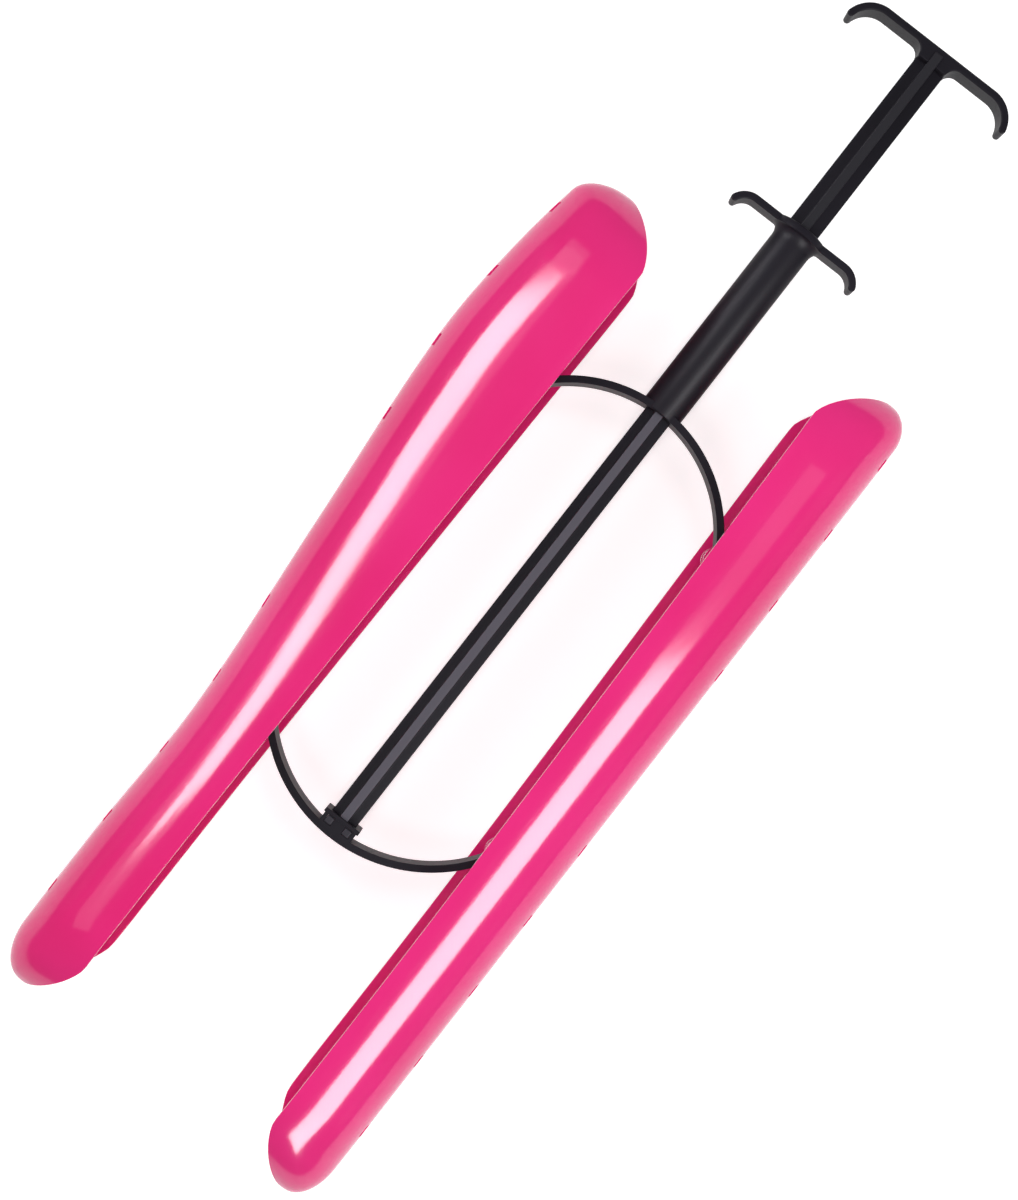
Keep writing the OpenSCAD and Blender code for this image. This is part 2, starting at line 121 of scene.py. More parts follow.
# Mesh cells of a shell: along a slot, along a gap, up a side and across a slot
SLOT_STEPS, GAP_STEPS, SIDE_STEPS, COLUMN_STEPS = 2, 4, 30, 3
GAP_CELL = 4
NOSE_STEP = 5

# Sizes of the bows, tube and rod
BOW_T, BOW_WIDTH, BEAD_D = 3, 15, 6.4
TUBE_D, FLARE_R, FLARE_H = 17.8, 12, 4.8
BAR_T, BAR_WIDTH = 3, 12
FINGER_TOP, FINGER_SPAN, FINGER_HOOK_R, FINGER_HOOK_ANGLE = 428.5, 61.6, 9.5, 66
PALM_TOP, PALM_SPAN, PALM_HOOK_R, PALM_HOOK_ANGLE, PALM_FILLET_R = 519.1, 79, 13.5, 76, 4.6
ROD_WIDTH, STEM_WIDTH, ROD_RIB, FLANGE_DRAFT = 11.8, 13.6, 3.8, 0.4
UPPER_BOW_TOP, UPPER_BOW_R = 338.6, 61.9
LOWER_BOW_BASE, LOWER_BOW_R = 122.6, 66.2
SEAT_GAP, SEAT_WALL, SEAT_RIB, SEAT_SPAN, SEAT_FOOT, SEAT_SLACK = 0.3, 2.2, 2.6, 13, 30, 0.4
SQUEEZE, OPEN = 30, 5
SLIDE_GAP = 0.3
SOCKET_WIDTH, SOCKET_TOP, SOCKET_FLOOR, SOCKET_GAP = 15.4, 131.6, 0.8, 0.1
LIP_OUT, LIP_H, LIP_OVER = 0.7, 1.6, 0.2
LUG_SIDE, LUG_PROUD = 3.2, 0.3

# Bow geometry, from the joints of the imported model
UPPER_CENTRE = UPPER_BOW_TOP - UPPER_BOW_R
LOWER_CENTRE = LOWER_BOW_BASE + LOWER_BOW_R
UPPER_MID_R = UPPER_BOW_R - BOW_T / 2
LOWER_MID_R = LOWER_BOW_R - BOW_T / 2
UPPER_FLEX = local(joint_at["upper_front_flex"])
UPPER_BEAD = local(joint_at["front_shell_top_bead"])
LOWER_BEAD = local(joint_at["rear_shell_low_bead"])
LOWER_BEAD.x = -LOWER_BEAD.x
ARM_LEN = (UPPER_BEAD - UPPER_FLEX).length
ARM_ANGLE = math.degrees(math.atan2(UPPER_BEAD.x - UPPER_FLEX.x, UPPER_FLEX.y - UPPER_BEAD.y))
UPPER_REACH = math.degrees(math.asin(ARM_LEN / 2 / UPPER_MID_R))
LOWER_REACH = math.degrees(math.asin(ARM_LEN / 2 / LOWER_MID_R))
FOLDED = math.cos(math.radians(ARM_ANGLE - SQUEEZE))
STROKE = 2 * ARM_LEN * (FOLDED - math.cos(math.radians(ARM_ANGLE)))
STEP_AT = UPPER_BOW_TOP + STROKE + SLIDE_GAP

# A bow's strip ends this many half thicknesses short of its bead's centre, and the bead's round
# runs between these turns
STRIP_END = 1.8
BEAD_FROM, BEAD_TO = 55, -235
# The least reach of a bar's round end, in half thicknesses
HOOK_END = 0.8
# Room between the tube's bore and the inner ends of the finger bar
BAR_CLEAR = 1.2
TUBE_CHAMFER, FLARE_CHAMFER = 0.5, 0.6
# How far the stem reaches into the palm bar, and a window into the socket's hole
STEM_SUNK, WINDOW_DEPTH = 0.5, 1
# Length of a mesh cell along the rod
ROD_CELL = 12

# Rounded edges, and the angles from which an edge is rounded or shaded as sharp
SHELL_EDGE, SEAT_EDGE = 0.45, 0.35
BOW_EDGE, BAR_EDGE, ROD_EDGE = 0.5, 0.55, 0.45
LUG_EDGE, SOCKET_EDGE = 0.5, 0.25
EDGE_ANGLE, CURVED_EDGE_ANGLE = 32, 40
SMOOTH_ANGLE = 50
WELD = 0.01

# Plastics
SWIRL_SCALE, SCUFF_SCALE = 9.0, 700.0
SCUFF_STRETCH = 0.06
SCUFF_SHARE = (0.52, 0.78)
GRAIN_HEIGHT, GRAIN_STRENGTH = 0.03, 0.25
PLASTIC_IOR = 1.5
# Width over which the painted highlight fades in below a rib's full reach, in mm
RIB_HIGHLIGHT_EDGE = 0.3
# Darker and lighter tone, roughness, what the scuffs add to it, specular level, grain scale
PINK_TONES = ((0.760, 0.016, 0.170), (0.830, 0.024, 0.215), 0.12, 0.06, 0.5, 260.0)
BLACK_TONES = ((0.011, 0.010, 0.014), (0.016, 0.014, 0.020), 0.42, 0.12, 0.09, 900.0)
# Colours of highlights painted on the faces of the rod's and the stem's ribs at their full reach,
# for the light that they catch
ROD_RIB_HIGHLIGHT = (0.100, 0.096, 0.118)
STEM_RIB_HIGHLIGHT = (0.024, 0.023, 0.028)
# Colour of the highlight painted on the lugs' outer faces
LUG_FACE_HIGHLIGHT = (0.040, 0.038, 0.048)

# Strength of the world and of the floor's own light, as the camera, matt faces and gloss see them
SKY_SEEN, SKY_DIFFUSE, SKY_GLOSSY = 1.0, 0.36, 0.2
FLOOR_SEEN, FLOOR_GLOSSY = 0.5, 0.3
FLOOR_TONE, FLOOR_ROUGHNESS = 0.8, 0.9
# Half the floor's side, in metres
FLOOR_REACH = 0.9
MIDDLE = place(0, 198, 0)

# Soft boxes stand this far from the middle and shine in the gloss only
SOFT_BOX_AWAY = 900
REAR_LEAN, FRONT_LEAN = -45, 39
# The bent soft box of the rear shell's streak, in steps: top, bottom, middle across, width
REAR_STREAK = [(288, 140, -138, 390), (140, 10, -124, 400), (10, -50, -75, 390),
               (-50, -100, -5, 380), (-100, -150, 75, 360), (-150, -200, 140, 330),
               (-200, -240, 180, 280), (-240, -270, 130, 130)]
REAR_STREAK_LEVEL = 17
# Name, lean, place across and along, width, length, twist and level
SOFT_BOXES = [("rear_glow", REAR_LEAN, (0, 100), 400, 1500, 12, 0.9),
              ("rear_top_glow", REAR_LEAN, (-90, 580), 420, 600, 12, 0.8),
              ("front_streak", FRONT_LEAN, (65, -764), 420, 1652, 4, 16),
              ("front_top_glow", FRONT_LEAN, (60, 195), 400, 270, 4, 0.8)]

# Lamps, kept out of the gloss: name, place in millimetres, width and length in metres, and watts
LAMPS = [("key", (0, 240, 1000), 0.16, 0.9, 4.8),
         ("side_rear", (-700, 240, 900), 0.8, 1.2, 1.8),
         ("side_front", (750, 240, 900), 0.8, 1.2, 2.6),
         ("low_rear", (-1200, 240, 250), 0.4, 1.2, 3.0),
         ("low_front", (1200, 240, 250), 0.4, 1.2, 3.2)]

# The camera looks straight down from here, turned as the photo is, with sizes in millimetres
EYE = (-1.76, 240.7, 840)
EYE_TURN = 37.934
VIEW_HEIGHT = 480
SENSOR_HEIGHT = 36
# The furthest that the camera sees, in metres
CLIP_END = 20


# Materials

def new_material(name):
    """A material with its nodes, links and shader."""
    material = bpy.data.materials.new(name)
    material.use_nodes = True
    nodes = material.node_tree.nodes
    shader = nodes["Principled BSDF"]
    return material, nodes, material.node_tree.links, shader


def add(nodes, kind, **values):
    """A node with values set on its inputs, or on itself."""
    node = nodes.new(kind)
    for key, value in values.items():
        if key in node.inputs:
            node.inputs[key].default_value = value
        else:
            setattr(node, key, value)
    return node


def ramp(nodes, low, high, at=(0.35, 0.65)):
    """A colour ramp between two grey levels or colours."""
    node = nodes.new("ShaderNodeValToRGB")
    for element, where, level in zip(node.color_ramp.elements, at, (low, high)):
        element.position = where
        element.color = (*level, 1) if isinstance(level, tuple) else (level, level, level, 1)
    return node


def moulded_plastic(name, dark, light, roughness, scuff_depth, specular, grain_scale, rib=None):
    """Moulded plastic: a faint swirl in its colour, scuffs in its gloss and a fine grain.

    rib is the reach of a bar's rib from the rod's axis, in mm, and the colour of a painted
    highlight on the faces at that reach from the axis, for the light that they catch.
    """
    material, nodes, links, shader = new_material(name)
    where = add(nodes, "ShaderNodeTexCoord")
    swirl = add(nodes, "ShaderNodeTexNoise", Scale=SWIRL_SCALE, Detail=3.0, Roughness=0.5)
    links.new(where.outputs["Object"], swirl.inputs["Vector"])
    colour = ramp(nodes, dark, light)
    links.new(swirl.outputs["Fac"], colour.inputs["Fac"])
    links.new(colour.outputs["Color"], shader.inputs["Base Color"])
    # Painted highlight: faces at the rib's reach from the axis take a paler colour, for the light
    # that they catch
    if rib:
        reach, pale = rib
        parts = add(nodes, "ShaderNodeSeparateXYZ")
        links.new(where.outputs["Object"], parts.inputs[0])
        above = add(nodes, "ShaderNodeMath", operation="SUBTRACT")
        above.inputs[1].default_value = AXIS_Z
        links.new(parts.outputs["Z"], above.inputs[0])
        height = add(nodes, "ShaderNodeMath", operation="ABSOLUTE")
        links.new(above.outputs[0], height.inputs[0])
        highlight_mask = add(nodes, "ShaderNodeMapRange")
        highlight_mask.inputs["From Min"].default_value = (reach - RIB_HIGHLIGHT_EDGE) * MM
        highlight_mask.inputs["From Max"].default_value = (reach - RIB_HIGHLIGHT_EDGE / 2) * MM
        links.new(height.outputs[0], highlight_mask.inputs["Value"])
        highlight_mix = add(nodes, "ShaderNodeMixRGB", Color2=(*pale, 1))
        links.new(highlight_mask.outputs[0], highlight_mix.inputs["Fac"])
        links.new(colour.outputs["Color"], highlight_mix.inputs["Color1"])
        links.new(highlight_mix.outputs["Color"], shader.inputs["Base Color"])

    stretch = add(nodes, "ShaderNodeMapping")
    stretch.inputs["Scale"].default_value = (1.0, SCUFF_STRETCH, 1.0)
    links.new(where.outputs["Object"], stretch.inputs["Vector"])
    scuffs = add(nodes, "ShaderNodeTexNoise", Scale=SCUFF_SCALE, Detail=4.0, Roughness=0.65)
    links.new(stretch.outputs["Vector"], scuffs.inputs["Vector"])
    gloss = ramp(nodes, roughness, roughness + scuff_depth, SCUFF_SHARE)
    links.new(scuffs.outputs["Fac"], gloss.inputs["Fac"])
    links.new(gloss.outputs["Color"], shader.inputs["Roughness"])

    grain = add(nodes, "ShaderNodeTexNoise", Scale=grain_scale, Detail=2.0, Roughness=0.5)
    links.new(where.outputs["Object"], grain.inputs["Vector"])
    bump = add(nodes, "ShaderNodeBump", Strength=GRAIN_STRENGTH, Distance=GRAIN_HEIGHT * MM)
    links.new(grain.outputs["Fac"], bump.inputs["Height"])
    links.new(bump.outputs["Normal"], shader.inputs["Normal"])
    shader.inputs["IOR"].default_value = PLASTIC_IOR
    shader.inputs["Specular IOR Level"].default_value = specular
    return material


PINK = moulded_plastic("pink_plastic", *PINK_TONES)
BLACK = moulded_plastic("black_plastic", *BLACK_TONES)
# Black with a highlight painted on the faces of the rod's and the stem's ribs at their full reach
ROD_BLACK_HIGHLIT = moulded_plastic("black_plastic_rod_painted_highlight", *BLACK_TONES, rib=(ROD_WIDTH / 2, ROD_RIB_HIGHLIGHT))
STEM_BLACK_HIGHLIT = moulded_plastic("black_plastic_stem_painted_highlight", *BLACK_TONES,
                             rib=(STEM_WIDTH / 2, STEM_RIB_HIGHLIGHT))
# Black with a highlight painted on the lugs' outer faces
LUG_BLACK_HIGHLIT = moulded_plastic("black_plastic_lugs_painted_highlight", *BLACK_TONES, rib=(SOCKET_WIDTH / 2, LUG_FACE_HIGHLIGHT))


# Mesh tools

def apply_modifiers(obj):
    """Makes the result of a piece's modifiers its own mesh."""
    bpy.context.view_layer.update()
    depsgraph = bpy.context.evaluated_depsgraph_get()
    mesh = bpy.data.meshes.new_from_object(obj.evaluated_get(depsgraph))
    obj.modifiers.clear()
    obj.data = mesh
    return mesh


def finish_mesh(obj, bevel, segments, sharp):
    """Rounds the sharp edges of a piece and shades it smooth, with its flat faces kept flat."""
    if bevel:
        modifier = obj.modifiers.new("edges", "BEVEL")
        modifier.width = bevel * MM
        modifier.segments = segments
        modifier.limit_method = "ANGLE"
        modifier.angle_limit = math.radians(sharp)
        modifier.use_clamp_overlap = True
    mesh = apply_modifiers(obj)
    for polygon in mesh.polygons:
        polygon.use_smooth = True
    mesh.set_sharp_from_angle(angle=math.radians(SMOOTH_ANGLE))
    if bevel:
        modifier = obj.modifiers.new("flats", "WEIGHTED_NORMAL")
        modifier.keep_sharp = True
        apply_modifiers(obj)


def closed_mesh(name, points, faces):
    """A closed mesh of points in millimetres, with double points joined."""
    mesh = bpy.data.meshes.new(name)
    mesh.from_pydata([place(*p) for p in points], [], faces)
    mesh.validate()
    tidy = bmesh.new()
    tidy.from_mesh(mesh)
    bmesh.ops.remove_doubles(tidy, verts=tidy.verts, dist=WELD * MM)
    bmesh.ops.recalc_face_normals(tidy, faces=tidy.faces)
    tidy.to_mesh(mesh)
    tidy.free()
    obj = bpy.data.objects.new(name, mesh)
    bpy.context.scene.collection.objects.link(obj)
    return obj


def new_piece(name, points, faces, material, slot, bevel=0.0, segments=3, sharp=EDGE_ANGLE,
              cutters=()):
    """A closed piece with rounded edges. Cutters are taken out of it first."""
    obj = closed_mesh(name, points, faces)
    for cutter in cutters:
        modifier = obj.modifiers.new("window", "BOOLEAN")
        modifier.operation = "DIFFERENCE"
        modifier.solver = "EXACT"
        modifier.object = cutter
    finish_mesh(obj, bevel, segments, sharp)
    for cutter in cutters:
        bpy.data.objects.remove(cutter)
    obj.data.materials.clear()
    obj.data.materials.append(material)
    return obj


def prism(outline, low, high):
    """Points and faces of an outline in the XY plane, between two heights."""
    count = len(outline)
    points = [(x, y, low) for x, y in outline] + [(x, y, high) for x, y in outline]
    faces = [tuple(range(count - 1, -1, -1)), tuple(range(count, 2 * count))]
    faces += [(i, (i + 1) % count, count + (i + 1) % count, count + i) for i in range(count)]
    return points, faces


def lathe(profile, steps=72):
    """Points and faces of a profile of (radius, y), turned about the rod's axis."""
    points, faces = [], []
    for radius, y in profile:
        for k in range(steps):
            turn = 2 * math.pi * k / steps
            points.append((radius * math.cos(turn), y, radius * math.sin(turn)))
    rows = len(profile)
    for i in range(rows):
        a, b = i * steps, ((i + 1) % rows) * steps
        faces += [(a + k, a + (k + 1) % steps, b + (k + 1) % steps, b + k) for k in range(steps)]
    return points, faces


def arc(radius, start, end, steps, centre=(0, 0)):
    """Points from one angle to another, in degrees from +X, in so many steps."""
    turns = [math.radians(start + (end - start) * k / steps) for k in range(steps + 1)]
    return [(centre[0] + radius * math.cos(t), centre[1] + radius * math.sin(t)) for t in turns]


def mirrored(outline):
    """An outline's mirror image across the rod's axis, run backwards so that the two join."""
    return [(-x, y) for x, y in reversed(outline)]


# Shell meshes

Shell = namedtuple("Shell", "body side outline rims tip noses rise")


def curve(points, y):
    """Smooth curve through (station, value) points."""
    last = len(points) - 1

    def slope(k):
        a, b = max(k - 1, 0), min(k + 1, last)
        return (points[b][1] - points[a][1]) / (points[b][0] - points[a][0])

    i = max(k for k in range(last) if k == 0 or y >= points[k][0])
    length = points[i + 1][0] - points[i][0]
    t = (y - points[i][0]) / length
    return ((1 + 2 * t) * (1 - t) ** 2 * points[i][1] + t * t * (3 - 2 * t) * points[i + 1][1]
            + length * t * (1 - t) ** 2 * slope(i) - length * t * t * (1 - t) * slope(i + 1))


def half_width(y):
    """Half the shell's width at a station, from the ankle's to the calf's."""
    t = min(max((y - ANKLE_AT) / (BULGE_AT - ANKLE_AT), 0), 1)
    return (ANKLE_WIDTH + (CALF_WIDTH - ANKLE_WIDTH) * t * t * (3 - 2 * t)) / 2


def nose(y, lengths, power, inset):
    """Rounded end: 0 at the tip, 1 from the nose length inwards. The inner face's tip is inset."""
    low = y < SHELL_LEN / 2
    length = lengths[0] if low else lengths[1]
    depth = ((y if low else SHELL_LEN - y) - inset) / (length - inset)
    return 1 if depth >= 1 else max(0, 1 - (1 - max(depth, 0)) ** power) ** (1 / power)


def wall_point(shell, y, turn, inset):
    """Distance of a wall point from the axis, and its height over the middle plane."""
    tip = shell.tip
    rim_nose = nose(y, (NOSE_RIM_LEN, NOSE_RIM_LEN), NOSE_RIM_POWER, inset)
    width_nose = nose(y, (NOSE_WIDTH_LEN, NOSE_WIDTH_LEN), NOSE_WIDTH_POWER, inset)
    rim = tip + (curve(shell.rims, y) - tip) * rim_nose
    back = tip + (curve(shell.outline, y) - inset - tip) * nose(y, shell.noses, 2, inset)
    half = (half_width(y) - inset) * width_nose
    c = abs(math.cos(turn)) ** (2 / SECTION_POWER)
    s = abs(math.sin(turn)) ** (2 / SECTION_POWER)
    return rim + (back - rim) * c, math.copysign(half * s, turn)


def turn_at(height):
    """Angle round the section at a height over the middle plane."""
    share = min(1, height / (CALF_WIDTH / 2 - SHELL_WALL))
    return math.asin(share ** (SECTION_POWER / 2))


def inner_station(y):
    """The inner face ends one wall short of the tips."""
    depth = min(y, SHELL_LEN - y)
    if depth >= NOSE_RIM_LEN:
        return y
    inner = SHELL_WALL + depth * (1 - SHELL_WALL / NOSE_RIM_LEN)
    return inner if y < SHELL_LEN / 2 else SHELL_LEN - inner


def spread(values, counts):
    """Splits each stretch between two values into its count of equal steps."""
    result = [values[0]]
    for (a, b), count in zip(zip(values, values[1:]), counts):
        result += [a + (b - a) * k / count for k in range(1, count + 1)]
    return result


def shell_stations():
    """Stations of the mesh rings, and the vent row that each ring cell lies in, or None."""
    low = VENT_ROWS[0] - VENT_LEN / 2
    high = VENT_ROWS[-1] + VENT_LEN / 2
    nose_low = [low * (1 - math.cos(math.radians(a))) for a in range(0, 91, NOSE_STEP)]
    top = SHELL_LEN - high
    nose_high = [SHELL_LEN - top * (1 - math.cos(math.radians(a)))
                 for a in range(90, -1, -NOSE_STEP)]
    stations, rows = nose_low, [None] * (len(nose_low) - 1)
    for i, centre in enumerate(VENT_ROWS):
        stations += spread([centre - VENT_LEN / 2, centre + VENT_LEN / 2], [SLOT_STEPS])[1:]
        rows += [i] * SLOT_STEPS
        if i < len(VENT_ROWS) - 1:
            gap = VENT_ROWS[i + 1] - centre - VENT_LEN
            steps = max(GAP_STEPS, round(gap / GAP_CELL))
            edge = centre + VENT_LEN / 2
            stations += spread([edge, edge + gap], [steps])[1:]
            rows += [None] * steps
    stations += nose_high[1:]
    rows += [None] * (len(nose_high) - 1)
    return stations, rows


def shell_turns():
    """Angles round the section, and the vent column that each cell lies in, or None."""
    edges = [turn_at((i + 0.5) * VENT_WIDTH) for i in range(3)]
    half = edges + [math.pi / 2]
    values = [-v for v in reversed(half)] + half
    counts = [SIDE_STEPS] + [COLUMN_STEPS] * 5 + [SIDE_STEPS]
    columns = [None] * SIDE_STEPS
    for column in range(-2, 3):
        columns += [column] * COLUMN_STEPS
    columns += [None] * SIDE_STEPS
    return spread(values, counts), columns


def vent_here(row, column):
    """Rows alternate between three slots and two. The first row of each group has three."""
    if row is None or column is None:
        return False
    index = row if row < VENT_ROWS_LOW else len(VENT_ROWS) - 1 - row
    return abs(column) % 2 == index % 2


def shell_skin(shell):
    """The shell's closed wall, cell by cell, with its vents left out and their sides put in."""
    side, tip, rise = shell.side, shell.tip, shell.rise
    stations, rows = shell_stations()
    turns, columns = shell_turns()
    across = len(turns)
    points, faces = [], []
    for inset in (0, SHELL_WALL):
        for y in stations[1:-1]:
            station = inner_station(y) if inset else y
            for turn in turns:
                x, z = wall_point(shell, station, turn, inset)
                points.append((side * x, station + rise, z))
    inner = (len(stations) - 2) * across
    tips = len(points)
    for y in (0, SHELL_LEN, SHELL_WALL, SHELL_LEN - SHELL_WALL):
        points.append((side * tip, y + rise, 0))

    def at(layer, i, j):
        if i == 0:
            return tips + 2 * layer
        if i == len(stations) - 1:
            return tips + 2 * layer + 1
        return layer * inner + (i - 1) * across + j

    def cell(corners):
        return tuple(dict.fromkeys(corners))

    for i in range(len(stations) - 1):
        for j in range(across - 1):
            if vent_here(rows[i], columns[j]):
                for di, dj in ((-1, 0), (1, 0), (0, -1), (0, 1)):
                    if not vent_here(rows[i + di], columns[j + dj]):
                        a = (i + max(di, 0), j + max(dj, 0))
                        b = (a[0] + abs(dj), a[1] + abs(di))
                        faces.append((at(0, *a), at(0, *b), at(1, *b), at(1, *a)))
                continue
            for layer in (0, 1):
                faces.append(cell((at(layer, i, j), at(layer, i + 1, j),
                                   at(layer, i + 1, j + 1), at(layer, i, j + 1))))
        for j in (0, across - 1):
            faces.append(cell((at(0, i, j), at(0, i + 1, j), at(1, i + 1, j), at(1, i, j))))
    return new_piece(shell.body + "_skin", points, faces, PINK, "shell_plastic", bevel=SHELL_EDGE,
                     sharp=CURVED_EDGE_ANGLE)


def seat_outline(shell, bead, station, way, tangent):
    """A snap seat's rib: a C round the bead, open towards the arm, and a foot on the wall."""
    grip = BEAD_D / 2 + SEAT_GAP
    ring = grip + SEAT_WALL
    slot_half = BOW_T / 2 + SEAT_SLACK
    start = tangent + OPEN + math.degrees(math.asin(slot_half / grip))
    end = tangent - SQUEEZE - math.degrees(math.asin(slot_half / grip)) + 360
    outer_start = tangent + OPEN + math.degrees(math.asin(slot_half / ring))
    turn = turn_at((SEAT_SPAN - SEAT_RIB) / 2)
    foot = []
    for k in (1, 0.5, 0, -0.5, -1):
        y = station + way * k * SEAT_FOOT / 2
        x = wall_point(shell, y, turn, 0)[0] - SHELL_WALL / 2
        foot.append((x - bead, k * SEAT_FOOT / 2))
    # On the folded arm's side the slot runs straight on, to the edge from the ring to the foot
    folded = math.radians(tangent - SQUEEZE)
    edge_x, edge_y = foot[0][0], foot[0][1] - ring
    turned = edge_x * math.sin(folded) - edge_y * math.cos(folded)
    share = (slot_half + ring * math.cos(folded)) / turned
    shape = arc(grip, start, end, 40)
    shape += [(share * edge_x, ring + share * edge_y)]
    shape += foot + arc(ring, 270, outer_start, 16)
    return [(bead + x, station + way * y) for x, y in shape]


def seats(shell):
    """The two ribs of each of a shell's snap seats."""
    for label, at, way, tangent in (("upper", UPPER_BEAD, 1, 90 + ARM_ANGLE - UPPER_REACH),
                                    ("lower", LOWER_BEAD, -1, 90 + ARM_ANGLE - LOWER_REACH)):
        shape = seat_outline(shell, at[0], at[1] - shell.rise, way, tangent)
        shape = [(shell.side * x, y + shell.rise) for x, y in shape]
        for face, centre in (("a", 1), ("b", -1)):
            middle = centre * (SEAT_SPAN - SEAT_RIB) / 2
            points, faces = prism(shape, middle - SEAT_RIB / 2, middle + SEAT_RIB / 2)
            rib = new_piece(f"{shell.body}_{label}_seat_{face}", points, faces, PINK,
                            "shell_plastic", bevel=SEAT_EDGE, segments=2)
            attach(rib, shell.body)


def build_shell(shell):
    """A shell's wall with its vents, and its seats."""
    skin = shell_skin(shell)
    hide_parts(shell.body)
    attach(skin, shell.body)
    seats(shell)


# Bow meshes

def bow_half(name, centre, mid_r, reach, side, way, node):
    """Half a bow, from the rod's axis to its bead. way is 1 where the bow opens downwards."""
    start = 90
    end = ARM_ANGLE - reach
    inner, outer = mid_r - BOW_T / 2, mid_r + BOW_T / 2
    bead = (mid_r * math.cos(math.radians(end)), mid_r * math.sin(math.radians(end)))
    turn = math.degrees(BOW_T / 2 / mid_r) * STRIP_END
    shape = arc(outer, start, end + turn, 44)
    shape += arc(BEAD_D / 2, end + BEAD_FROM, end + BEAD_TO, 24, bead)
    shape += arc(inner, end + turn, start, 44)
    shape = [(side * x, centre + way * y) for x, y in shape]
    points, faces = prism(shape, -BOW_WIDTH / 2, BOW_WIDTH / 2)
    piece = new_piece(name, points, faces, BLACK, "handle_plastic", bevel=BOW_EDGE,
                      sharp=CURVED_EDGE_ANGLE)
    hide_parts(node)
    # The direction along the arm, from its flexing line towards its bead
    direction = Vector((side * math.sin(math.radians(ARM_ANGLE)), 0, 0))
    direction.y = -way * math.cos(math.radians(ARM_ANGLE))
    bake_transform(piece)


# Bar, tube, rod and socket meshes

def hooked_outline(span, hook_r, hook_angle, top):
    """The front half of a flat bar with its end curved down, seen along Z."""
    mid = hook_r - BAR_T / 2
    bend = math.sin(math.radians(hook_angle))
    flat = span / 2 - mid * bend - BAR_T / 2 * max(bend, HOOK_END)
    centre = (flat, top - hook_r)
    end = 90 - hook_angle
    tip = (flat + mid * math.cos(math.radians(end)), centre[1] + mid * math.sin(math.radians(end)))
    half = arc(hook_r, 90, end, 18, centre) + arc(BAR_T / 2, end, end - 180, 12, tip)[1:-1]
    half += arc(hook_r - BAR_T, end, 90, 14, centre)
    return half


def bar_piece(name, outline, body):
    """A whole bar, from the outline of its front half."""
    points, faces = prism(outline + mirrored(outline), -BAR_WIDTH / 2, BAR_WIDTH / 2)
    bar = new_piece(name, points, faces, BLACK, "handle_plastic", bevel=BAR_EDGE,
                    sharp=CURVED_EDGE_ANGLE)
    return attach(bar, body)


def cross_section(width, from_y, to_y, name, body, material):
    """Bar of cross-shaped section along Y. Its side flanges have the draft of the mould."""
    w, r = width / 2, ROD_RIB / 2
    e = r - FLANGE_DRAFT
    corner = [(w, -e), (w, e), (r, r), (r, w), (-r, w), (-r, r), (-w, e), (-w, -e), (-r, -r),
              (-r, -w), (r, -w), (r, -r)]
    stations = spread([from_y, to_y], [max(1, round((to_y - from_y) / ROD_CELL))])
    count = len(corner)
    points = [(x, y, z) for y in stations for x, z in corner]
    last = count * (len(stations) - 1)
    faces = [tuple(range(count)), tuple(range(last, last + count))]
    for i in range(len(stations) - 1):
        a, b = i * count, (i + 1) * count
        faces += [(a + k, a + (k + 1) % count, b + (k + 1) % count, b + k) for k in range(count)]
    bar = new_piece(name, points, faces, material, "handle_plastic", bevel=ROD_EDGE,
                    sharp=CURVED_EDGE_ANGLE)
    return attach(bar, body)


def tube():
    """The tube with its flare, and the two halves of the finger bar, which its bore keeps apart."""
    bore = math.hypot(STEM_WIDTH, ROD_RIB) / 2 + SLIDE_GAP
    low_bore = math.hypot(ROD_WIDTH, ROD_RIB) / 2 + SLIDE_GAP
    base = FINGER_TOP - BAR_T
    foot = UPPER_BOW_TOP - BOW_T
    r = TUBE_D / 2
    profile = [(low_bore, foot), (r - TUBE_CHAMFER, foot), (r, foot + TUBE_CHAMFER),
               (r, base - FLARE_H)]
    profile += [(r + (FLARE_R - r) * (1 - math.cos(t)), base - FLARE_H + FLARE_H * math.sin(t))
                for t in [math.radians(a) for a in range(15, 91, 15)]]
    profile += [(FLARE_R, FINGER_TOP - FLARE_CHAMFER), (FLARE_R - FLARE_CHAMFER, FINGER_TOP),
                (bore + TUBE_CHAMFER, FINGER_TOP), (bore, FINGER_TOP - TUBE_CHAMFER),
                (bore, UPPER_BOW_TOP), (low_bore, UPPER_BOW_TOP)]
    points, faces = lathe(profile)
    piece = new_piece("tube_barrel", points, faces, BLACK, "handle_plastic")
    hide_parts("outer_tube")
    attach(piece, "tube")
    half = hooked_outline(FINGER_SPAN, FINGER_HOOK_R, FINGER_HOOK_ANGLE, FINGER_TOP)
    cut = bore + BAR_CLEAR
    wing = [(cut, FINGER_TOP)] + half + [(cut, base)]
    for side, name in ((1, "finger_bar_front"), (-1, "finger_bar_rear")):
        shape = [(side * x, y) for x, y in wing]
        points, faces = prism(shape, -BAR_WIDTH / 2, BAR_WIDTH / 2)
        bar = new_piece(name, points, faces, BLACK, "handle_plastic", bevel=BAR_EDGE,
                        sharp=CURVED_EDGE_ANGLE)
        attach(bar, "tube")


